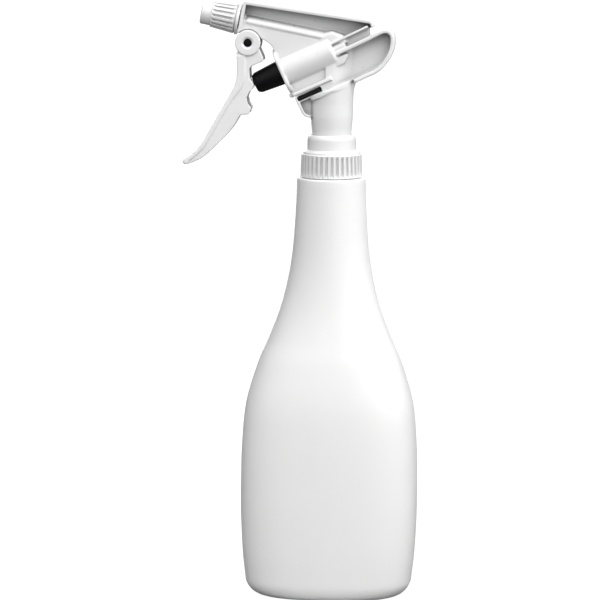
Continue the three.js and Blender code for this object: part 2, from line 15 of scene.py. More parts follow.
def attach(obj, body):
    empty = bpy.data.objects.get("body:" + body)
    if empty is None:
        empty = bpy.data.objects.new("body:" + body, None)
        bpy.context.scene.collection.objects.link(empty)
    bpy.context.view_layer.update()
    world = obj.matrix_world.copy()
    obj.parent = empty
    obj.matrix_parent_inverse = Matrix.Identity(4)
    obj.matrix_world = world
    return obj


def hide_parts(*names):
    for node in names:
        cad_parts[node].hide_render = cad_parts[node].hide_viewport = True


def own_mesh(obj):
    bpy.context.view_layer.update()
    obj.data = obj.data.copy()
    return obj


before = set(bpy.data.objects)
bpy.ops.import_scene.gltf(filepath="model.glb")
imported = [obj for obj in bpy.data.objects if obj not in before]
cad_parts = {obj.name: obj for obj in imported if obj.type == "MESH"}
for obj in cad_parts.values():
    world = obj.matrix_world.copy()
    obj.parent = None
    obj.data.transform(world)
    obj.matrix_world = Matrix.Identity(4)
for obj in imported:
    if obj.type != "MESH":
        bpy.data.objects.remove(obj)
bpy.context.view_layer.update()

MM = 0.001
UP = Vector((0, 0, 1))
SHARP = math.radians(38)  # edges that turn by more than this stay sharp

# ---------------------------------------------------------------- driving dimensions, in millimetres

# bottle: half sizes where it is widest, the radius of its round top, heights, neck and base
FULL_WIDTH, FULL_DEPTH = 46.8, 30.0
ROUND_RADIUS = 18.1
SHOULDER = 222.7
NECK_RADIUS, NECK_BORE, NECK_TOP = 12.4, 10.8, 233.4
WALL = 1.3
BASE_HALF, BASE_CORNER = 34.3, 10.0

# screw cap
SKIRT_LOW, SKIRT_HIGH, SKIRT_RADIUS = 223.1, 235.3, 16.4
COLLAR_TOP, COLLAR_RADIUS, COLLAR_BORE, COLLAR_ROUND = 245.3, 12.8, 10.8, 2.6

# pump cylinder: the middle of its mouth, its lean, and places along its axis from the mouth
PUMP_TILT = math.radians(24.5)
PUMP_MOUTH = Vector((-26.6, 0, 277.9))
PUMP_AXIS = Vector((math.cos(PUMP_TILT), 0, math.sin(PUMP_TILT)))
VALVE_END, BARREL_END, BORE_END = 37.2, 30.4, 28.4

# piston, along the same axis
PISTON_FRONT, PISTON_BACK, MOUTH_RADIUS, SEAL_RADIUS = -15.35, 14.0, 6.6, 7.05
SEAL_PLACES = {"piston_rear_seal": 2.4, "piston_front_seal": 10.5}
SEAL_WIDTH = 1.8

# check valves: radius and centre of each ball
INTAKE_BALL, INTAKE_CENTRE = 2.4, Vector((0, 0, 250.85))
DISCHARGE_BALL, DISCHARGE_CENTRE = 1.8, PUMP_MOUTH + PUMP_AXIS * 31.8

# nozzle: the middle of the face that it is screwed up to, and the way it points
NOZZLE_TILT = math.radians(11)
NOZZLE_SEAT = Vector((-47.6, 0, 305.3))
NOZZLE_AXIS = Vector((-math.cos(NOZZLE_TILT), 0, math.sin(NOZZLE_TILT)))

# trigger's pivot, its round ears and the hole for its pin
PIVOT = Vector((-44.1, 0, 293.6))
EAR_RADIUS, PIN_HOLE = 6.7, 2.2

# sprayer body: half widths of its web, rims, lug and nose
WEB_HALF, RIM_HALF, LUG_HALF, NOSE_HALF = 0.8, 7.3, 4.6, 6.0

# ---------------------------------------------------------------- outlines and profiles


def fillet(corners, closed=True, steps=5):
    """The corners as points, with an arc where a corner gives a radius."""
    points = []
    for i, (x, z, *rest) in enumerate(corners):
        radius = rest[0] if rest else 0
        is_end = not closed and i in (0, len(corners) - 1)
        if not radius or is_end:
            points.append((x, z))
            continue
        here = Vector((x, z))
        before = Vector(corners[i - 1][:2]) - here
        after = Vector(corners[(i + 1) % len(corners)][:2]) - here
        half = before.angle(after) / 2
        reach = min(radius / math.tan(half), 0.49 * before.length, 0.49 * after.length)
        radius = reach * math.tan(half)
        start = here + before.normalized() * reach
        end = here + after.normalized() * reach
        middle = (before.normalized() + after.normalized()).normalized()
        centre = here + middle * (radius / math.sin(half))
        first, last = start - centre, end - centre
        turn = math.atan2(first.x * last.y - first.y * last.x, first.dot(last))
        for step in range(steps + 1):
            spoke = Matrix.Rotation(turn * step / steps, 2) @ first
            points.append(tuple(centre + spoke))
    return points


def spline(points, steps):
    """Points along a Catmull-Rom curve through the given ones."""
    result = []
    spans = len(points) - 1
    for step in range(steps + 1):
        at = min(step / steps * spans, spans - 1e-9)
        i = int(at)
        t = at - i
        p = [points[min(max(i + k, 0), spans)] for k in (-1, 0, 1, 2)]
        result.append(
            tuple(
                0.5
                * (
                    2 * b
                    + (c - a) * t
                    + (2 * a - 5 * b + 4 * c - d) * t * t
                    + (3 * b - a - 3 * c + d) * t * t * t
                )
                for a, b, c, d in zip(*p)
            )
        )
    return result


def offset(path, distance):
    """The path moved to the left of its own direction, or to the right if distance is negative."""
    moved = []
    for i, (x, z) in enumerate(path):
        x0, z0 = path[max(i - 1, 0)]
        x1, z1 = path[min(i + 1, len(path) - 1)]
        forward = Vector((x1 - x0, z1 - z0)).normalized()
        moved.append((x - forward.y * distance, z + forward.x * distance))
    return moved


def ribbon(path, thickness):
    """The outline of a wall of even thickness along a path."""
    return offset(path, thickness / 2) + offset(path, -thickness / 2)[::-1]


# ---------------------------------------------------------------- solids


def solid(bm, place=None):
    """A temporary object in millimetres from a bmesh."""
    bmesh.ops.recalc_face_normals(bm, faces=bm.faces)
    if place is not None:
        bm.transform(place)
    mesh = bpy.data.meshes.new("shape")
    bm.to_mesh(mesh)
    bm.free()
    obj = bpy.data.objects.new("shape", mesh)
    bpy.context.scene.collection.objects.link(obj)
    return obj


def along(start, direction):
    """The matrix that takes +Z at the origin to a direction at a start point."""
    return Matrix.Translation(start) @ UP.rotation_difference(direction).to_matrix().to_4x4()


IN_PUMP = along(PUMP_MOUTH, PUMP_AXIS)
IN_NOZZLE = along(NOZZLE_SEAT, NOZZLE_AXIS)
ACROSS = Matrix.Rotation(math.pi / 2, 4, "X")  # takes +Z to -Y
AT_PIVOT = Matrix.Translation(PIVOT) @ ACROSS


def turned(profile, sides=64, place=None, relief=None):
    """A solid of revolution. The profile starts and ends on the axis, or closes on itself.

    relief(angle, radius, z), if given, is how far a point is moved in towards the axis.
    """
    on_axis = profile[0][0] == 0
    points = fillet(profile, closed=not on_axis)
    bm = bmesh.new()
    rings = []
    for radius, z in points:
        if radius < 1e-6:
            rings.append([bm.verts.new((0, 0, z))])
            continue
        ring = []
        for side in range(sides):
            angle = 2 * math.pi * side / sides
            r = radius - (relief(angle, radius, z) if relief else 0)
            ring.append(bm.verts.new((r * math.cos(angle), r * math.sin(angle), z)))
        rings.append(ring)
    if not on_axis:
        rings.append(rings[0])
    for low, high in zip(rings, rings[1:]):
        for side in range(sides):
            other = (side + 1) % sides
            corners = [low[side % len(low)], low[other % len(low)]]
            corners += [high[other % len(high)], high[side % len(high)]]
            unique = list(dict.fromkeys(corners))
            if len(unique) > 2:
                bm.faces.new(unique)
    return solid(bm, place)


def prism(outline, low, high, edge=0.0, place=None):
    """An outline of (x, y) points drawn out along Z, with its end edges rounded by edge."""
    bm = bmesh.new()
    bottom = [bm.verts.new((x, y, low)) for x, y in outline]
    top = [bm.verts.new((x, y, high)) for x, y in outline]
    ends = [bm.faces.new(bottom), bm.faces.new(top)]
    for i in range(len(outline)):
        j = (i + 1) % len(outline)
        bm.faces.new((bottom[i], bottom[j], top[j], top[i]))
    bmesh.ops.recalc_face_normals(bm, faces=bm.faces)
    if edge:
        rims = {e for face in ends for e in face.edges}
        bmesh.ops.bevel(
            bm, geom=list(rims), offset=edge, segments=3, profile=0.5, affect="EDGES",
            clamp_overlap=True,
        )
    return solid(bm, place)


def slab(outline, half, edge=0.4, middle=0.0):
    """An outline in the X-Z plane as a slab that reaches half to each side of y = middle."""
    return prism(outline, -middle - half, -middle + half, edge, ACROSS)


def helix_tube(radius, start, end, turns, wire, steps, sides, place=None):
    """A round wire wound about Z, with closed ends."""
    bm = bmesh.new()
    count = round(turns * steps)
    rise = (end - start) / (2 * math.pi * turns)
    rings = []
    for step in range(count + 1):
        angle = 2 * math.pi * turns * step / count
        centre = Vector((radius * math.cos(angle), radius * math.sin(angle), start + rise * angle))
        outward = Vector((math.cos(angle), math.sin(angle), 0))
        forward = Vector((-radius * math.sin(angle), radius * math.cos(angle), rise)).normalized()
        upward = forward.cross(outward)
        ring = []
        for side in range(sides):
            turn = 2 * math.pi * side / sides
            spoke = outward * math.cos(turn) + upward * math.sin(turn)
            ring.append(bm.verts.new(centre + spoke * wire))
        rings.append(ring)
    for low, high in zip(rings, rings[1:]):
        for side in range(sides):
            other = (side + 1) % sides
            bm.faces.new((low[side], low[other], high[other], high[side]))
    bm.faces.new(rings[0])
    bm.faces.new(rings[-1])
    return solid(bm, place)


def evaluated(obj):
    """The object's mesh with its modifiers applied."""
    graph = bpy.context.evaluated_depsgraph_get()
    return bpy.data.meshes.new_from_object(obj.evaluated_get(graph))


def drop(obj):
    """Removes an object and its mesh."""
    mesh = obj.data
    bpy.data.objects.remove(obj)
    bpy.data.meshes.remove(mesh)


def fuse(solids, holes=(), within=None):
    """Joins solids into one, cuts the holes out of it and keeps what is within a solid."""
    base, *others = solids
    jobs = [("UNION", other) for other in others] + [("DIFFERENCE", hole) for hole in holes]
    if within is not None:
        jobs.append(("INTERSECT", within))
    for operation, other in jobs:
        boolean = base.modifiers.new("boolean", "BOOLEAN")
        boolean.operation = operation
        boolean.solver = "MANIFOLD"
        boolean.object = other
    bpy.context.view_layer.update()
    mesh = evaluated(base)
    for obj in [base] + [other for _, other in jobs]:
        drop(obj)
    result = bpy.data.objects.new("shape", mesh)
    bpy.context.scene.collection.objects.link(result)
    return result


def soften(obj, voxel, rounds, keep):
    """Rounds every edge and inner corner as a mould does, then keeps that share of the faces."""
    remesh = obj.modifiers.new("remesh", "REMESH")
    remesh.mode = "VOXEL"
    remesh.voxel_size = voxel
    smooth = obj.modifiers.new("smooth", "SMOOTH")
    smooth.factor = 0.5
    smooth.iterations = rounds
    thin = obj.modifiers.new("thin", "DECIMATE")
    thin.ratio = keep
    bpy.context.view_layer.update()
    mesh = evaluated(obj)
    drop(obj)
    result = bpy.data.objects.new("shape", mesh)
    bpy.context.scene.collection.objects.link(result)
    return result


# ---------------------------------------------------------------- materials


NOISE_LOW, NOISE_HIGH = 0.3, 0.7  # nearly all of a noise's values lie between these


class Look:
    """A Principled material with helpers for its procedural detail."""

    def __init__(self, name, colour, roughness, **sockets):
        self.material = bpy.data.materials.new(name)
        self.material.use_nodes = True
        self.tree = self.material.node_tree
        self.shader = self.tree.nodes["Principled BSDF"]
        self.shader.inputs["Base Color"].default_value = (*colour, 1)
        self.shader.inputs["Roughness"].default_value = roughness
        for socket, value in sockets.items():
            self.shader.inputs[socket.replace("_", " ")].default_value = value
        self.place = self.tree.nodes.new("ShaderNodeTexCoord").outputs["Object"]
        self.last_bump = None

    def noise(self, size, detail=3, stretch=(1, 1, 1)):
        """Noise whose features are about size metres across."""
        mapping = self.tree.nodes.new("ShaderNodeMapping")
        mapping.inputs["Scale"].default_value = stretch
        self.tree.links.new(self.place, mapping.inputs["Vector"])
        noise = self.tree.nodes.new("ShaderNodeTexNoise")
        noise.inputs["Scale"].default_value = 1 / size
        noise.inputs["Detail"].default_value = detail
        self.tree.links.new(mapping.outputs["Vector"], noise.inputs["Vector"])
        return noise.outputs["Fac"]

    def ranged(self, value, low, high):
        """The middle of a noise's range spread from low to high."""
        spread = self.tree.nodes.new("ShaderNodeMapRange")
        spread.inputs["From Min"].default_value = NOISE_LOW
        spread.inputs["From Max"].default_value = NOISE_HIGH
        spread.inputs["To Min"].default_value = low
        spread.inputs["To Max"].default_value = high
        self.tree.links.new(value, spread.inputs["Value"])
        return spread.outputs["Result"]

    def mottle(self, value, dark, light):
        """Base colour that wanders between two colours."""
        ramp = self.tree.nodes.new("ShaderNodeValToRGB")
        ramp.color_ramp.elements[0].position = NOISE_LOW
        ramp.color_ramp.elements[0].color = (*dark, 1)
        ramp.color_ramp.elements[1].position = NOISE_HIGH
        ramp.color_ramp.elements[1].color = (*light, 1)
        self.tree.links.new(value, ramp.inputs["Fac"])
        self.tree.links.new(ramp.outputs["Color"], self.shader.inputs["Base Color"])

    def paint_crease_shade(self, reach, darkest):
        """Painted shade: darkens the base colour in the piece's own corners and recesses, within reach
        metres.
        """
        closed_in, wide_open = 0.2, 0.8
        colour = self.shader.inputs["Base Color"].links[0].from_socket
        openness = self.tree.nodes.new("ShaderNodeAmbientOcclusion")
        openness.only_local = True
        openness.samples = 8
        openness.inputs["Distance"].default_value = reach
        shade = self.tree.nodes.new("ShaderNodeMapRange")
        shade.inputs["From Min"].default_value = closed_in
        shade.inputs["From Max"].default_value = wide_open
        shade.inputs["To Min"].default_value = darkest
        shade.inputs["To Max"].default_value = 1
        self.tree.links.new(openness.outputs["AO"], shade.inputs["Value"])
        product = self.tree.nodes.new("ShaderNodeVectorMath")
        product.operation = "SCALE"
        self.tree.links.new(colour, product.inputs[0])
        self.tree.links.new(shade.outputs["Result"], product.inputs["Scale"])
        self.tree.links.new(product.outputs["Vector"], self.shader.inputs["Base Color"])

    def roughness(self, value, low, high):
        self.tree.links.new(self.ranged(value, low, high), self.shader.inputs["Roughness"])

    def bump(self, value, depth, strength=1.0):
        """Relief of the given depth in metres, on top of any relief already there."""
        bump = self.tree.nodes.new("ShaderNodeBump")
        bump.inputs["Distance"].default_value = depth
        bump.inputs["Strength"].default_value = strength
        self.tree.links.new(value, bump.inputs["Height"])
        if self.last_bump is not None:
            self.tree.links.new(self.last_bump, bump.inputs["Normal"])
        self.last_bump = bump.outputs["Normal"]
        self.tree.links.new(self.last_bump, self.shader.inputs["Normal"])


def moulded(name, light, dark, smooth, rough, grain, **sockets):
    """Moulded plastic or rubber: faint clouding, uneven gloss, slow waves, a fine grain and painted
    shade in its recesses.
    """
    clouds, patches, waves, pits = 0.018, 0.006, 0.009, 0.0018
    look = Look(name, light, (smooth + rough) / 2, **sockets)
    look.mottle(look.noise(clouds), dark, light)
    # painted shade: the base colour is darkened in the piece's corners and recesses
    look.paint_crease_shade(reach=0.012, darkest=0.28)
    look.roughness(look.noise(patches, detail=4), smooth, rough)
    look.bump(look.noise(waves, detail=2), depth=0.00009)
    look.bump(look.noise(pits, detail=2), grain)
    return look.material


def white_plastic(name, smooth, rough):
    """The sprayer's white plastic, which lets a little light in under its skin."""
    return moulded(
        name, (0.85, 0.85, 0.85), (0.81, 0.81, 0.815), smooth, rough, 0.000012,
        Subsurface_Weight=0.12, Subsurface_Radius=(1, 1, 1), Subsurface_Scale=0.0015,
    )


def bottle_plastic():
    """Blow-moulded polyethylene: satin, slightly translucent, with faint upright streaks."""
    clouds, patches, waves, pits = 0.03, 0.012, 0.016, 0.0009
    look = Look(
        "bottle_plastic", (0.93, 0.93, 0.925), 0.42, Subsurface_Weight=0.35,
        Subsurface_Radius=(1, 1, 1), Subsurface_Scale=0.0025, Specular_IOR_Level=0.45,
    )
    look.mottle(look.noise(clouds, stretch=(1, 1, 0.25)), (0.92, 0.92, 0.915), (0.95, 0.95, 0.945))
    look.roughness(look.noise(patches, detail=5, stretch=(1, 1, 0.3)), 0.36, 0.5)
    look.bump(look.noise(waves, detail=3, stretch=(1, 1, 0.35)), depth=0.00022)
    look.bump(look.noise(pits, detail=3), depth=0.00002)
    return look.material


def steel():
    """Bright stainless steel, drawn or ground."""
    look = Look("spring_steel", (0.62, 0.62, 0.63), 0.25, Metallic=1.0)
    look.roughness(look.noise(0.002, detail=5), 0.16, 0.32)
    look.bump(look.noise(0.0004), depth=0.00001)
    return look.material


LOOKS = {
    "bottle_plastic": bottle_plastic(),
    "body_plastic": white_plastic("body_plastic", 0.26, 0.38),
    "cap_plastic": white_plastic("cap_plastic", 0.28, 0.4),
    "nozzle_plastic": white_plastic("nozzle_plastic", 0.26, 0.38),
    "trigger_plastic": moulded(
        "trigger_plastic", (0.88, 0.88, 0.88), (0.84, 0.84, 0.845), 0.3, 0.42, 0.000012,
    ),
    "black_plastic": moulded(
        "black_plastic", (0.005, 0.005, 0.006), (0.003, 0.003, 0.004), 0.4, 0.55, 0.00002,
        Specular_IOR_Level=0.12,
    ),
    "black_rubber": moulded(
        "black_rubber", (0.008, 0.008, 0.008), (0.004, 0.004, 0.004), 0.6, 0.8, 0.00003,
        Specular_IOR_Level=0.15,
    ),
    "gasket_rubber": moulded(
        "gasket_rubber", (0.62, 0.62, 0.58), (0.52, 0.52, 0.49), 0.6, 0.8, 0.00004,
    ),
    "inner_plastic": moulded(
        "inner_plastic", (0.8, 0.83, 0.83), (0.72, 0.75, 0.75), 0.18, 0.3, 0.00001,
        Transmission_Weight=0.2, IOR=1.49,
    ),
    "steel": steel(),
}


def piece(name, obj, body, slot, is_soft=False):
    """Finishes a shape as a piece of the object: metres, material, smooth shading and its body."""
    obj.name = f"fine_{name}"
    obj.data.name = obj.name
    obj.data.transform(Matrix.Scale(MM, 4))
    obj.data.materials.clear()
    obj.data.materials.append(LOOKS[slot])
    obj.data.shade_smooth()
    if not is_soft:
        obj.data.set_sharp_from_angle(angle=SHARP)
        weighted = obj.modifiers.new("even shading", "WEIGHTED_NORMAL")
        weighted.keep_sharp = True
    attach(obj, body)
    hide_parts(name)
    return obj


# ---------------------------------------------------------------- bottle

BOTTLE_SIDE = [
    (44.3, 10), (45.7, 23), (46.7, 43), (46.8, 60), (46.3, 81), (44.2, 103), (38.1, 124),
    (32.5, 137), (26.2, 154), (22.1, 171), (19.8, 188), (18.5, 209), (18.1, 221.9),
]
# half widths and heights from the hollow under the base out to the ring that the bottle stands on
BOTTLE_BASE = [(24.0, 1.6), (29.5, 1.2), (32.4, 0.35), (33.4, 0.05), (BASE_HALF, 0.0)]


def bottle_level(half_width, z, inset=0.0):
    """Half width, half depth, squareness and height of one level of the bottle."""
    share = max(0.0, (half_width - ROUND_RADIUS) / (FULL_WIDTH - ROUND_RADIUS))
    half_depth = half_width - share * (FULL_WIDTH - FULL_DEPTH)
    return half_width - inset, half_depth - inset, 2 + 0.9 * share, z


def bottle_angles(columns):
    """Angles round the bottle, with a narrow pair beside each side for the mould's parting line."""
    near = 0.012  # radians
    angles = []
    for side in range(2):
        start = side * math.pi
        angles += [start - near, start, start + near]
        angles += [start + math.pi * step / columns for step in range(1, columns)]
    return angles


def bottle_point(level, angle, ridge):
    """A point of a level's rounded oval, moved out by ridge on the parting line."""
    a, b, power, z = level
    c, s = math.cos(angle), math.sin(angle)
    on_line = abs(s) < 1e-9
    x = (a + (ridge if on_line else 0)) * math.copysign(abs(c) ** (2 / power), c)
    y = b * math.copysign(abs(s) ** (2 / power), s)
    return x, y, z


def bottle_outside():
    """Levels of the outside: base, round corner, side and the rounded edge of the shoulder."""
    shoulder_edge = 0.8
    corner = []
    for step in range(1, 8):
        angle = step / 8 * math.pi / 2
        corner.append((BASE_HALF + BASE_CORNER * math.sin(angle), BASE_CORNER * (1 - math.cos(angle))))
    levels = [bottle_level(w, z) for w, z in BOTTLE_BASE + corner + spline(BOTTLE_SIDE, 72)]
    for step in range(1, 5):
        angle = step / 4 * math.pi / 2
        radius = ROUND_RADIUS - shoulder_edge * (1 - math.cos(angle))
        levels.append((radius, radius, 2, SHOULDER - shoulder_edge * (1 - math.sin(angle))))
    return levels


def bottle_neck():
    """Levels of the neck: up its outside, over its rim and down its bore."""
    profile = [
        (NECK_RADIUS + 0.6, SHOULDER), (NECK_RADIUS, SHOULDER + 0.6), (NECK_RADIUS, NECK_TOP - 0.4),
        (NECK_RADIUS - 0.4, NECK_TOP), (NECK_BORE + 0.3, NECK_TOP), (NECK_BORE, NECK_TOP - 0.3),
        (NECK_BORE, SHOULDER - WALL),
    ]
    return [(radius, radius, 2, z) for radius, z in profile]


def bottle_inside():
    """Levels of the inside, down the side and in over the floor."""
    floor, ceiling = 2.9, SHOULDER - WALL
    side = [bottle_level(w, z, WALL) for w, z in reversed(spline(BOTTLE_SIDE, 72))]
    levels = [(a, b, power, min(z, ceiling)) for a, b, power, z in side]
    levels += [bottle_level(w, max(z + WALL, floor), WALL) for w, z in reversed(BOTTLE_BASE)]
    return levels


def make_bottle():
    """One closed skin: up the outside, over the neck's rim and down the inside."""
    parting_ridge = 0.06
    outside = bottle_outside()
    bm = bmesh.new()
    angles = bottle_angles(40)
    rings = []
    for level in outside + bottle_neck() + bottle_inside():
        is_skin = level in outside and level[3] > 1
        ridge = parting_ridge if is_skin else 0.0
        rings.append([bm.verts.new(bottle_point(level, angle, ridge)) for angle in angles])
    for low, high in zip(rings, rings[1:]):
        for i in range(len(angles)):
            j = (i + 1) % len(angles)
            bm.faces.new((low[i], low[j], high[j], high[i]))
    bm.faces.new(rings[0])
    bm.faces.new(rings[-1])
    skin = solid(bm)
    thread = helix_tube(
        NECK_RADIUS, start=226.5, end=231.75, turns=1.25, wire=1.15, steps=64, sides=12
    )
    return piece("bottle", fuse([skin, thread]), "bottle", "bottle_plastic")


# ---------------------------------------------------------------- screw cap


def grooves(count, depth, share, low, high, fade, outside):
    """A relief of count grooves round a grip, on its skin beyond the radius outside.

    share is how much of the pitch a groove's floor takes. The grooves run from low to high and
    fade out at both ends.
    """
    slope = 0.25

    def relief(angle, radius, z):
        if radius <= outside or z < low or z > high:
            return 0
        phase = (angle * count / (2 * math.pi)) % 1
        distance = abs(phase - 0.5) * 2  # 0 in the middle of a groove, 1 on a rib
        across = min(max((share + slope - distance) / slope, 0), 1)
        ends = min((z - low) / fade, (high - z) / fade, 1)
        return depth * across * across * (3 - 2 * across) * ends

    return relief


def make_screw_cap():
    """A ribbed skirt that narrows a little upwards, a ledge and a smooth collar with a round top."""
    rows, taper, rib_height = 8, 0.4, 11.4
    skirt = []
    for row in range(rows + 1):
        skirt.append((SKIRT_RADIUS - taper * row / rows, SKIRT_LOW + 0.5 + row / rows * rib_height))
    steps = 6
    collar = []
    for step in range(steps + 1):
        angle = step / steps * math.pi / 2
        width = (COLLAR_RADIUS - COLLAR_BORE) * math.cos(angle)
        collar.append((COLLAR_BORE + width, COLLAR_TOP - COLLAR_ROUND * (1 - math.sin(angle))))
    profile = [
        (14.1, SKIRT_LOW), (16.1, SKIRT_LOW, 0.3), *skirt,
        (15.2, SKIRT_HIGH + 0.3), (15.2, 236.4, 0.4), (12.9, 237.5, 0.5),
        *collar, (COLLAR_BORE, 236.2), (14.1, 236.2),
    ]
    ribs = grooves(
        count=36, depth=0.95, share=0.32, low=SKIRT_LOW + 0.6, high=SKIRT_HIGH - 0.5, fade=0.7,
        outside=15.3,
    )
    cap = turned(profile, sides=360, relief=ribs)
    return piece("screw_cap", cap, "cap", "cap_plastic")


def make_neck_gasket():
    inner, outer, low, high, edge = 4.7, 12.3, 233.72, 234.68, 0.2
    profile = [(inner, low, edge), (outer, low, edge), (outer, high, edge), (inner, high, edge)]
    return piece("neck_gasket", turned(profile), "head", "gasket_rubber")


# ---------------------------------------------------------------- sprayer body

NOSE_TOP, NOSE_FOOT = (-45.7, 314.8), (-48.8, 298.7)
RAIL_END, HOOK_FOOT = (20.8, 305.5), (21.5, 302.5)
UNDER_NOSE = [(-38.2, 297.4), (-36.2, 296.4), (-32.3, 294), (-30.3, 291.6)]
SLOT_ABOVE = [(-0.6, 293.4), (19, 303)]
TAIL_CURVE = [
    (19.8, 296.9), (27.2, 300.5), (30.9, 299.6), (32.2, 296), (31.2, 289.9), (27.9, 283.7),
    (23.6, 279.7), (18, 276.9), (12, 274),
]
LEDGE = [(-20.3, 266.4), (0, 275.6)]
GUSSET = [(-18.6, 265.4), (-14.7, 257.4), (-13.4, 255.9), (-10.6, 255.2)]
VENT_SLOT = [(-17.7, 264.1), (-5.2, 270)]
COLUMN_CAP = [(-10.9, 264.6), (13, 274.6)]
RISER = Matrix.Translation((1.4, 0, 0))  # the riser stands a little behind the bottle's axis
TUBE_END, POST_END = -45, 12.6  # ends of the discharge tube and the nozzle's post, from the seat


def body_web():
    """The thin wall down the middle, which the rims stand out from."""
    tail = spline(TAIL_CURVE, 24)
    outline = [
        NOSE_TOP, RAIL_END, HOOK_FOOT, (19.5, 301.6), *tail[:-1], (-9.5, 264.5), (-9.5, 255.6),
        *reversed(GUSSET[:3]), LEDGE[0], (-30, 284.2), (-31.6, 289.2), *reversed(UNDER_NOSE),
        NOSE_FOOT,
    ]
    return slab(outline, WEB_HALF, edge=0)


def body_rims():
    """The walls that stand out from the web on both sides, each along its own path."""

    def rim(path, thickness, edge):
        return slab(ribbon(path, thickness), RIM_HALF, edge)

    rail = [(NOSE_TOP[0] - 0.5, NOSE_TOP[1]), (RAIL_END[0], RAIL_END[1] - 0.1)]
    gusset = fillet([GUSSET[0], (*GUSSET[1], 2), (*GUSSET[2], 1), GUSSET[3]], closed=False)
    return [
        rim(rail, thickness=2.2, edge=0.5),
        rim([RAIL_END, HOOK_FOOT], thickness=1.4, edge=0.3),
        rim([NOSE_FOOT, NOSE_TOP], thickness=1.8, edge=0.4),
        rim(SLOT_ABOVE, thickness=1.3, edge=0.3),
        rim([(2, 288.2)] + spline(TAIL_CURVE, 32), thickness=2.2, edge=0.6),
        rim(LEDGE, thickness=2.0, edge=0.5),
        rim(gusset, thickness=1.5, edge=0.4),
    ]


def body_nose():
    """The thick nose behind the nozzle and the lug that carries the trigger."""
    outline = [
        NOSE_FOOT, (-47.2, 307), (-43, 305), (-35, 301), (-34, 296), (-38.2, 296.6),
        (PIVOT.x, PIVOT.z),
    ]
    lug_radius, edge = 5, 0.3
    lug = turned(
        [(0, -LUG_HALF), (lug_radius, -LUG_HALF, edge), (lug_radius, LUG_HALF, edge), (0, LUG_HALF)],
        sides=48, place=AT_PIVOT,
    )
    return [slab(outline, NOSE_HALF, edge=1.6), lug]


def ear_recess(side):
    """The room beside the lug in which one of the trigger's ears turns."""
    radius, outer = EAR_RADIUS + 0.5, 12
    profile = [(0, LUG_HALF), (radius, LUG_HALF), (radius, outer), (0, outer)]
    place = AT_PIVOT if side > 0 else AT_PIVOT @ Matrix.Rotation(math.pi, 4, "X")
    return turned(profile, place=place)


def body_column():
    """The round column under the frame, cut to the slope of its cap plate."""
    shaft = turned(
        [(0, 236.2), (10.4, 236.2, 0.3), (10.4, 246), (10.5, 247.5), (10.95, 252.5), (11.15, 255),
         (11.15, 262), (11.7, 271), (11.7, 280), (0, 280)],
        sides=96,
    )
    (x0, z0), (x1, z1) = COLUMN_CAP
    rise = (z1 - z0) / (x1 - x0)
    far, top = 30, 330
    above = slab(
        [(-far, z0 - (far + x0) * rise), (far, z0 + (far - x0) * rise), (far, top), (-far, top)],
        half=20, edge=0,
    )
    shaft = fuse([shaft], [above])
    plate_radius = 12.1
    plate = slab(ribbon(COLUMN_CAP, thickness=2.6), plate_radius, edge=1.1)
    round_edge = turned(
        [(0, 250), (plate_radius, 250), (plate_radius, 290), (0, 290)],
        sides=96, place=Matrix.Translation((-0.4, 0, 0)),
    )
    return [shaft, fuse([plate], within=round_edge)]


def mouth_flange():
    """The oval plate round the mouth of the pump cylinder."""
    half_tall, half_wide, corner, thickness = 12.0, 9.2, 6.5, 2
    outline = fillet(
        [(sx * half_tall, sy * half_wide, corner) for sx, sy in ((1, 1), (-1, 1), (-1, -1), (1, -1))],
        steps=10,
    )
    return prism(outline, low=0, high=thickness, edge=0.6, place=IN_PUMP)


def oval(half_tall, half_wide, steps=32):
    """An ellipse as an outline of (x, y) points."""
    turns = [2 * math.pi * step / steps for step in range(steps)]
    return [(half_tall * math.cos(turn), half_wide * math.sin(turn)) for turn in turns]


def body_pump():
    """The pump cylinder with its flange, valve chamber and tube, and the walls that join them."""
    radius = 9
    profile = [(0, 0), (radius, 0, 0.3), (radius, BARREL_END, 1.8), (0, BARREL_END)]
    barrel = turned(profile, sides=96, place=IN_PUMP)
    valve = prism(oval(3.7, 6.9), low=27, high=VALVE_END, edge=0.8, place=IN_PUMP)
    tube = prism(oval(3.1, 6.6), low=TUBE_END, high=-2, edge=1.5, place=IN_NOZZLE)
    under_flange = fillet([(-22.6, 266.6), (-21.9, 265, 0.4), (-20.1, 264.8, 0.4), (-19.6, 266.8)])
    foot = slab(under_flange, half=5, edge=0.3)
    panel = slab([(-21.6, 266.6), (-3.4, 274.9), (-3.4, 282), (-24, 276)], half=5, edge=0.3)
    before, corner, bend, after = UNDER_NOSE
    under_nose = fillet([before, corner, (*bend, 1), after], closed=False)
    shoulder = slab(
        [(-41, 303), (-41, 297), *offset(under_nose, -0.8), (-29, 284), (0, 292), (-3.4, 294.8)],
        NOSE_HALF, edge=1.6,
    )
    over_elbow = fillet([(-8, 293), (-6, 298.6), (0, 300.4, 2), (6.4, 298.2, 2), (8.6, 294)])
    elbow_cover = slab(over_elbow, half=6.4, edge=1.8)
    return [barrel, mouth_flange(), valve, tube, foot, panel, shoulder, elbow_cover]


def elbow():
    """The slanting passage from the valve chamber up to the discharge tube: place and length."""
    low = Vector((2.4, 0, 291.2))
    high = NOZZLE_SEAT + NOZZLE_AXIS * TUBE_END
    return along(low, (high - low).normalized()), (high - low).length


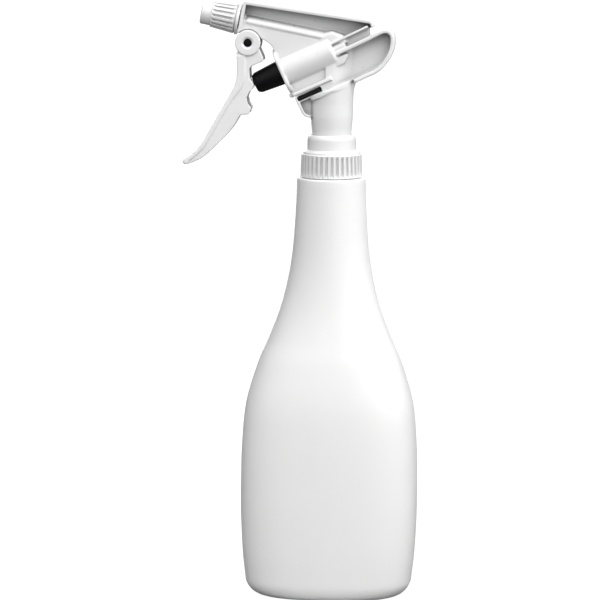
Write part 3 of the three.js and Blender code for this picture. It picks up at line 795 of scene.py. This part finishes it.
def riser_swelling():
    """The swelling round the riser, thick by the pump cylinder and fading into the tail."""
    steps, reach, web, height = 12, 13, 0.4, 5.8
    side = [(-5, web + height)]
    for step in range(steps + 1):
        share = step / steps
        side.append((reach * share, web + height * math.cos(share * math.pi / 2) ** 2))
    outline = side + [(x, -y) for x, y in reversed(side)]
    between_rims = slab(
        [
            (-4.6, 268), (11, 273.5), (15, 275), (24, 281), (24, 296), (-3.2, 288), (-3.2, 275),
            (-4.6, 274.4),
        ],
        half=9, edge=0,
    )
    return fuse([prism(outline, low=262, high=292)], within=between_rims)


def body_passages():
    """The walls of the passages: elbow, nozzle post with its thread, and riser."""
    place, length = elbow()
    around_elbow = [(0, 0), (3.4, 0), (3.4, length + 2, 1.2), (0, length + 2)]
    boss = turned(around_elbow, sides=48, place=place)
    post_radius = 4.5
    profile = [(0, -2), (post_radius, -2), (post_radius, POST_END, 0.4), (0, POST_END)]
    post = turned(profile, sides=48, place=IN_NOZZLE)
    thread = helix_tube(
        post_radius, start=3, end=9, turns=3, wire=0.5, steps=40, sides=10, place=IN_NOZZLE
    )
    riser = turned([(0, 262), (2.9, 262), (2.9, 284), (0, 284)], sides=48, place=RISER)
    behind_riser = fillet([(2, 286.4), (9.8, 289.6, 1), (7, 283.4, 1), (2, 280.6)])
    gusset = slab(behind_riser, half=5.9, edge=1.4)
    return [boss, post, thread, riser, riser_swelling(), gusset]


def body_floors():
    """The parts of the wall that lie less deep between the rims."""
    slot = slab([(6, 291), (6, 296), (19.6, 302.6), (19.6, 297.2)], half=4.2)
    gusset = slab([(-17.6, 263), (-14.2, 257), (-9.6, 256), (-9.6, 265)], half=3.6)
    round_vent = slab(ribbon([(-17.6, 264.3), (-4.4, 270.5)], thickness=4.4), half=6.4, edge=0.3)
    under_tail = fillet([(8, 274), (15.4, 275.8), (12.6, 273, 2), (11.4, 268.5), (8, 266)])
    return [slot, gusset, round_vent, slab(under_tail, half=2.6, edge=1)]


def body_holes():
    """Everything that is cut out of the body: bores, the vent slot and the ears' recesses."""
    place, length = elbow()

    def bore(radius, low, high, where, sides=32):
        return turned([(0, low), (radius, low), (radius, high), (0, high)], sides, where)

    cylinder = bore(7.2, -3, BORE_END, IN_PUMP, sides=64)
    port = bore(1.2, BORE_END - 1, BARREL_END + 1, IN_PUMP)
    valve = bore(2.3, BARREL_END, 40, IN_PUMP)
    slanting = bore(1.1, 0.5, length, place)
    discharge = bore(1.3, TUBE_END - 0.5, POST_END, IN_NOZZLE)
    swirl_socket = bore(3.3, 7.4, 20, IN_NOZZLE)
    retainer_socket = bore(8.5, 235, 258, Matrix.Identity(4), sides=64)
    riser = bore(1.5, 257, 284, RISER)
    vent = slab(ribbon(VENT_SLOT, thickness=2.4), RIM_HALF + 1, edge=0)
    pin_hole = bore(PIN_HOLE, -10, 10, AT_PIVOT, sides=48)
    return [
        cylinder, port, valve, slanting, discharge, swirl_socket, retainer_socket, riser, vent,
        ear_recess(1), ear_recess(-1), pin_hole,
    ]


def make_sprayer_body():
    """One moulding, so its parts are fused, cut and then softened as a whole."""
    solids = [body_web(), *body_rims(), *body_nose(), *body_column(), *body_pump(), *body_passages()]
    solids += body_floors()
    body = soften(fuse(solids, body_holes()), voxel=0.3, rounds=6, keep=0.35)
    return piece("sprayer_body", body, "head", "body_plastic", is_soft=True)


def make_slot_shade_strip():
    """A black strip in the slot under the cylinder, a little shorter and thinner than the slot:
    painted shade for the dark seen into the slot.
    """
    (x0, z0), (x1, z1) = VENT_SLOT
    inset = Vector((x1 - x0, z1 - z0)).normalized() * 0.35
    path = [(x0 + inset.x, z0 + inset.y), (x1 - inset.x, z1 - inset.y)]
    # painted shade: the strip is black where the slot shows dark
    strip = slab(ribbon(path, thickness=1.8), half=7.1, edge=0.1)
    return piece("vent_seal", strip, "head", "black_rubber")


# ---------------------------------------------------------------- trigger

TRIGGER_FRONT = [
    (-50, 288.5), (-49.8, 283), (-49.8, 276.5), (-51.1, 270.8), (-55.7, 262.3), (-62.3, 250.8),
    (-68, 240.7), (-73, 235.3), (-77.4, 232),
]
TRIGGER_BACK = [
    (-76, 229.2), (-72.9, 230.2), (-67, 233.3), (-59.6, 240.2), (-52.9, 247.4), (-48.6, 254.3),
]
TRIGGER_REAR = [
    (-47.7, 255.5, 0.3), (-43.3, 256, 0.4), (-42.2, 259.3, 0.8), (-44, 261.7, 1), (-44.6, 264.9, 1),
    (-43.4, 267.7, 1), (-41.7, 269.2, 0.4), (-40.7, 271, 0.7), (-41.5, 272.8, 0.6),
    (-42.9, 274.7, 0.8), (-43.1, 280.2, 0.8), (-42, 281.3, 0.6), (-36, 284.1, 0.7),
    (-35.8, 285.3, 0.7), (-37, 288.4), (-38.4, 291.3),
]


def trigger_cheeks(front, channel):
    """The two side walls of the channel."""
    outer = 6.85
    half_wall = (outer - channel) / 2
    back = spline(TRIGGER_BACK, 20)
    outline = front + back + fillet(TRIGGER_REAR, closed=False) + [(PIVOT.x, PIVOT.z)]
    return [slab(outline, half_wall, middle=side * (channel + half_wall)) for side in (-1, 1)]


def trigger_ears(channel):
    """The two round ears, each with a shallow recess in its outer side."""
    outer, recess = 7.9, 7.4
    profile = [
        (0, channel), (EAR_RADIUS, channel, 0.3), (EAR_RADIUS, outer, 0.5), (3.1, outer, 0.2),
        (2.7, recess, 0.2), (0, recess),
    ]
    flip = Matrix.Rotation(math.pi, 4, "X")
    return [turned(profile, sides=96, place=place) for place in (AT_PIVOT, AT_PIVOT @ flip)]


def trigger_face(front, half):
    """The finger face, which is thicker where it becomes the stem."""
    face_depth, stem_depth = 2.4, 4.6
    stem_foot, blend = 276, 14  # the face thins from the stem's foot down over this height
    inner = []
    for i, (_, z) in enumerate(front):
        share = min(max((stem_foot - z) / blend, 0), 1)
        depth = stem_depth + (face_depth - stem_depth) * share * share * (3 - 2 * share)
        inner.append(offset(front, depth)[i])
    return slab(front[2:] + inner[2:][::-1], half, edge=1.1)


def make_trigger():
    """A channel: two cheeks joined by the finger face in front, with an ear on top of each cheek."""
    half, channel = 7.4, 5.0  # half widths of the face and of the channel inside
    front = spline(TRIGGER_FRONT, 48)
    at_piston = fillet([
        (-48.6, 276), (-42.9, 274.7, 0.8), (-41.5, 272.8, 0.6), (-40.7, 271, 0.7), (-41.7, 269.2, 0.4),
        (-43.4, 267.7, 0.5), (-45.8, 266.4), (-51, 268),
    ])
    wall = slab(at_piston, channel + 0.5, edge=0)
    tip = Matrix.Translation((-76.6, 0, 230.8)) @ ACROSS
    profile = [(0, -half), (1.7, -half, 1), (1.7, half, 1), (0, half)]
    round_tip = turned(profile, sides=32, place=tip)
    hole = turned([(0, -9), (PIN_HOLE, -9), (PIN_HOLE, 9), (0, 9)], sides=48, place=AT_PIVOT)
    solids = [*trigger_cheeks(front, channel), *trigger_ears(channel), trigger_face(front, half)]
    trigger = fuse([*solids, wall, round_tip], [hole])
    trigger = soften(trigger, voxel=0.25, rounds=5, keep=0.4)
    return piece("trigger", trigger, "trigger", "trigger_plastic", is_soft=True)


def make_pivot_pin():
    radius, half = 2, 7.3
    profile = [(0, -half), (radius, -half, 0.3), (radius, half, 0.3), (0, half)]
    pin = turned(profile, sides=48, place=AT_PIVOT)
    return piece("pivot_pin", pin, "head", "black_plastic")


# ---------------------------------------------------------------- pump pieces


def make_piston():
    """A plunger, hollow at the back for the spring, with a groove for each of its two rings."""
    tip, tip_edge, hollow, hollow_floor = 4.6, 5.6, 4.6, -8
    ring_grooves = []
    for at in SEAL_PLACES.values():
        low, high, floor = at - 0.3, at + SEAL_WIDTH + 0.3, SEAL_RADIUS - 1.5
        ring_grooves += [(MOUTH_RADIUS, low), (floor, low), (floor, high), (MOUTH_RADIUS, high)]
    profile = [
        (0, PISTON_FRONT), (tip, PISTON_FRONT, 0.9), (tip_edge, PISTON_FRONT + 1.9, 1.2),
        (MOUTH_RADIUS, 0), *ring_grooves, (MOUTH_RADIUS, PISTON_BACK, 0.3),
        (hollow, PISTON_BACK, 0.3), (hollow, hollow_floor), (0, hollow_floor),
    ]
    plunger = turned(profile, sides=96, place=IN_PUMP)
    return piece("piston", plunger, "piston", "black_plastic")


def make_piston_seal(name):
    """A ring that rides in one of the piston's grooves, with two lips against the cylinder."""
    at = SEAL_PLACES[name]
    inner = SEAL_RADIUS - 1.2
    profile = [
        (inner, at), (SEAL_RADIUS, at, 0.4), (SEAL_RADIUS - 0.5, at + SEAL_WIDTH / 2, 0.3),
        (SEAL_RADIUS, at + SEAL_WIDTH, 0.4), (inner, at + SEAL_WIDTH),
    ]
    return piece(name, turned(profile, sides=96, place=IN_PUMP), "piston", "inner_plastic")


def make_return_spring():
    """A coil spring from the piston's hollow to the cylinder's end."""
    low, high, radius, wire = -7.7, 28.1, 3.6, 0.5
    spring = helix_tube(
        radius, low + wire, high - wire, turns=9, wire=wire, steps=40, sides=12, place=IN_PUMP
    )
    spring = piece("return_spring", spring, "head", "steel")
    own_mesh(spring)


def make_valve_plug():
    radius, front, back = 2.1, 35.4, 39.8
    profile = [(0, front), (radius, front, 0.3), (radius, back, 0.7), (0, back)]
    plug = turned(profile, sides=48, place=IN_PUMP)
    return piece("valve_plug", plug, "head", "body_plastic")


def make_ball(name, radius, centre):
    bm = bmesh.new()
    bmesh.ops.create_uvsphere(bm, u_segments=48, v_segments=24, radius=radius)
    return piece(name, solid(bm, Matrix.Translation(centre)), name, "steel")


# ---------------------------------------------------------------- nozzle


def make_nozzle():
    """A rear ring, a neck, a ribbed grip that narrows forwards and a smooth end with the orifice."""
    start, ring, flange, rib_end, end = 1.4, 2.8, 3.5, 16.2, 21.8
    ring_radius, neck_radius, grip_radius, end_radius = 8.3, 7.5, 8, 6.4
    rows, taper = 8, 0.9
    grip = []
    for row in range(rows + 1):
        at = flange + 0.3 + row / rows * (rib_end - flange - 0.6)
        grip.append((grip_radius - taper * row / rows, at))
    profile = [
        (5.5, start, 0.2), (ring_radius, start, 0.3), (ring_radius, ring, 0.3),
        (neck_radius, ring + 0.2), (neck_radius, flange), (7.95, flange + 0.1), *grip,
        (7.0, rib_end - 0.1, 0.2), (end_radius, rib_end, 0.2), (end_radius, end - 0.1, 0.9),
        (2.6, end, 0.3), (1.3, end - 1.2, 0.2), (0.6, end - 1.3), (0.6, end - 3), (3, end - 3),
        (3, 15.4), (5.5, 15.4),
    ]
    ribs = grooves(
        count=18, depth=0.95, share=0.3, low=flange + 0.5, high=rib_end - 0.2, fade=0.7,
        outside=6.9,
    )
    nozzle = turned(profile, sides=360, place=IN_NOZZLE, relief=ribs)
    return piece("nozzle", nozzle, "nozzle", "nozzle_plastic")


def make_nozzle_seal():
    inner, outer, back, front = 3.4, 5.1, 12.95, 14.25
    profile = [(inner, back, 0.3), (outer, back, 0.5), (outer, front, 0.5), (inner, front, 0.3)]
    return piece("nozzle_seal", turned(profile, place=IN_NOZZLE), "nozzle_seal", "black_rubber")


def make_swirl_insert():
    """A plug in the end of the nozzle's post, with three slots that set the liquid spinning."""
    radius, back, front = 3.1, 7.75, 12.8
    profile = [(0, back), (radius, back, 0.3), (radius, front, 0.3), (0, front)]
    plug = turned(profile, sides=48, place=IN_NOZZLE)
    slot = [(-0.45, 2.5), (0.45, 2.5), (0.45, 4), (-0.45, 4)]
    cuts = []
    for third in range(3):
        turn = IN_NOZZLE @ Matrix.Rotation(third * 2 * math.pi / 3, 4, "Z")
        cuts.append(prism(slot, low=6, high=15, place=turn))
    return piece("swirl_insert", fuse([plug], cuts), "head", "inner_plastic")


# ---------------------------------------------------------------- intake


def make_tube_retainer():
    """A sleeve in the column: socket for the dip tube, flange, the ball's seat and its stop bar."""
    profile = [
        (4.3, 229, 0.3), (4.3, 235), (13, 235, 0.2), (13, 235.9, 0.2), (8.2, 235.9), (8.2, 256.5, 0.4),
        (3.2, 256.5), (3.2, 249), (1.6, 249), (1.6, 247), (2.95, 247), (2.95, 229),
    ]
    shell = turned(profile, sides=72)
    across = [(-0.6, -3.6), (0.6, -3.6), (0.6, 3.6), (-0.6, 3.6)]
    bar = prism(across, low=255.3, high=256.5)
    return piece("tube_retainer", fuse([shell, bar]), "head", "inner_plastic")


def make_dip_tube():
    inner, outer, foot, top, edge = 1.9, 2.7, 12, 246.7, 0.15
    profile = [(inner, foot, edge), (outer, foot, edge), (outer, top, edge), (inner, top, edge)]
    return piece("dip_tube", turned(profile, sides=48), "head", "inner_plastic")


def make_tube_filter():
    """A thimble on the foot of the dip tube with slots all round, each cut right across it."""
    profile = [
        (0, 6), (4.4, 6, 0.9), (4.4, 19, 0.4), (2.9, 19), (2.9, 14), (3.6, 13), (3.6, 8), (0, 8),
    ]
    shell = turned(profile)
    slot = [(-6, -0.55), (6, -0.55), (6, 0.55), (-6, 0.55)]
    cuts = []
    for eighth in range(4):
        turn = Matrix.Rotation(eighth * math.pi / 4, 4, "Z")
        cuts.append(prism(slot, low=8.6, high=12.2, place=turn))
    return piece("tube_filter", fuse([shell], cuts), "head", "inner_plastic")


make_bottle()
make_screw_cap()
make_neck_gasket()
make_sprayer_body()
make_slot_shade_strip()
make_trigger()
make_pivot_pin()
make_piston()
for seal_name in SEAL_PLACES:
    make_piston_seal(seal_name)
make_return_spring()
make_valve_plug()
make_ball("intake_ball", INTAKE_BALL, INTAKE_CENTRE)
make_ball("discharge_ball", DISCHARGE_BALL, DISCHARGE_CENTRE)
make_nozzle()
make_nozzle_seal()
make_swirl_insert()
make_tube_retainer()
make_dip_tube()
make_tube_filter()

# ---------------------------------------------------------------- studio, in metres

NECK = Vector((0, 0, 0.25))  # the place that the lamps are aimed at
ROOM_LIGHT = (0.15, -0.7, 0.7)  # where the room is brightest, seen from the object
ROOM_EDGE = 0.05  # how far round from there, as a cosine, the room still gives light
ROOM_STRENGTH = 2.55
FLOOR_GLOW, FLOOR_PAPER = 0.94, 0.2  # what the camera sees of the floor: own light and grey


def make_camera():
    """A long lens a little above the table and slightly to the rear of the sprayer."""
    sensor = 36
    azimuth, elevation, roll = math.radians(4.5), math.radians(7.6), math.radians(0.36)
    target = Vector((-16.2, 0, 157)) * MM
    distance = 2.4
    metres_across = 0.318
    back = Vector((
        math.sin(azimuth) * math.cos(elevation), -math.cos(azimuth) * math.cos(elevation),
        math.sin(elevation),
    ))
    camera = bpy.data.cameras.new("camera")
    camera.sensor_width = sensor
    camera.lens = sensor * distance / metres_across
    camera.clip_end = 100
    obj = bpy.data.objects.new("camera", camera)
    obj.location = target + back * distance
    level = back.to_track_quat("Z", "Y")
    obj.rotation_euler = (level @ Quaternion(UP, roll)).to_euler()
    bpy.context.scene.collection.objects.link(obj)
    bpy.context.scene.camera = obj


def seen_only(tree, bright, dim):
    """Mixes two shaders: bright where the camera looks, dim for the light that is cast."""
    path = tree.nodes.new("ShaderNodeLightPath")
    mix = tree.nodes.new("ShaderNodeMixShader")
    tree.links.new(path.outputs["Is Camera Ray"], mix.inputs["Fac"])
    tree.links.new(dim, mix.inputs[1])
    tree.links.new(bright, mix.inputs[2])
    return mix.outputs["Shader"]


def make_floor():
    """A white floor to the camera that lights the object from below only as dark paper would."""
    size = 30
    corners = [(-size, -size, 0), (size, -size, 0), (size, size, 0), (-size, size, 0)]
    mesh = bpy.data.meshes.new("floor")
    mesh.from_pydata(corners, [], [(0, 1, 2, 3)])
    floor = bpy.data.objects.new("floor", mesh)
    bpy.context.scene.collection.objects.link(floor)
    look = Look("floor_paper", (0.09, 0.09, 0.09), 0.9)
    look.mottle(look.noise(0.4), (0.08, 0.08, 0.08), (0.1, 0.1, 0.1))
    glow = look.tree.nodes.new("ShaderNodeEmission")
    glow.inputs["Strength"].default_value = FLOOR_GLOW
    paper = look.tree.nodes.new("ShaderNodeBsdfDiffuse")
    paper.inputs["Color"].default_value = (FLOOR_PAPER, FLOOR_PAPER, FLOOR_PAPER, 1)
    seen = look.tree.nodes.new("ShaderNodeAddShader")
    look.tree.links.new(glow.outputs["Emission"], seen.inputs[0])
    look.tree.links.new(paper.outputs["BSDF"], seen.inputs[1])
    lit = seen_only(look.tree, seen.outputs["Shader"], look.shader.outputs["BSDF"])
    look.tree.links.new(lit, look.tree.nodes["Material Output"].inputs["Surface"])
    mesh.materials.append(look.material)


def make_room():
    """White to the camera. It lights the object softly from above and in front, not from behind."""
    world = bpy.data.worlds.new("studio")
    bpy.context.scene.world = world
    world.use_nodes = True
    tree = world.node_tree
    white = tree.nodes["Background"]
    white.inputs["Color"].default_value = (1, 1, 1, 1)
    white.inputs["Strength"].default_value = 1.0
    direction = tree.nodes.new("ShaderNodeTexCoord")
    towards = tree.nodes.new("ShaderNodeVectorMath")
    towards.operation = "DOT_PRODUCT"
    towards.inputs[1].default_value = Vector(ROOM_LIGHT).normalized()
    tree.links.new(direction.outputs["Generated"], towards.inputs[0])
    glow = tree.nodes.new("ShaderNodeMapRange")
    glow.inputs["From Min"].default_value = ROOM_EDGE
    glow.inputs["From Max"].default_value = 1
    glow.inputs["To Min"].default_value = 0
    glow.inputs["To Max"].default_value = ROOM_STRENGTH
    tree.links.new(towards.outputs["Value"], glow.inputs["Value"])
    dim = tree.nodes.new("ShaderNodeBackground")
    tree.links.new(glow.outputs["Result"], dim.inputs["Strength"])
    room = seen_only(tree, white.outputs["Background"], dim.outputs["Background"])
    tree.links.new(room, tree.nodes["World Output"].inputs["Surface"])


def soft_box(name, azimuth, elevation, distance, size, watts):
    """A soft light aimed at the neck. Azimuth 0 is on the camera's side and 90 is to the right."""
    light = bpy.data.lights.new(name, "AREA")
    light.shape = "DISK"
    light.size = size
    light.energy = watts
    a, e = math.radians(azimuth), math.radians(elevation)
    away = Vector((math.sin(a) * math.cos(e), -math.cos(a) * math.cos(e), math.sin(e)))
    obj = bpy.data.objects.new(name, light)
    obj.location = NECK + away * distance
    obj.rotation_euler = away.to_track_quat("Z", "Y").to_euler()
    obj.visible_camera = False
    bpy.context.scene.collection.objects.link(obj)


def make_lights():
    """A key light from the right, a weak one from above and one for views from behind."""
    soft_box("key", azimuth=80, elevation=30, distance=0.5, size=0.3, watts=1.25)
    soft_box("top", azimuth=0, elevation=80, distance=0.5, size=0.3, watts=0.25)
    soft_box("back", azimuth=190, elevation=8, distance=0.9, size=0.6, watts=3.2)


make_camera()
make_floor()
make_room()
make_lights()
bpy.context.scene.view_settings.view_transform = "Standard"  # white stays white
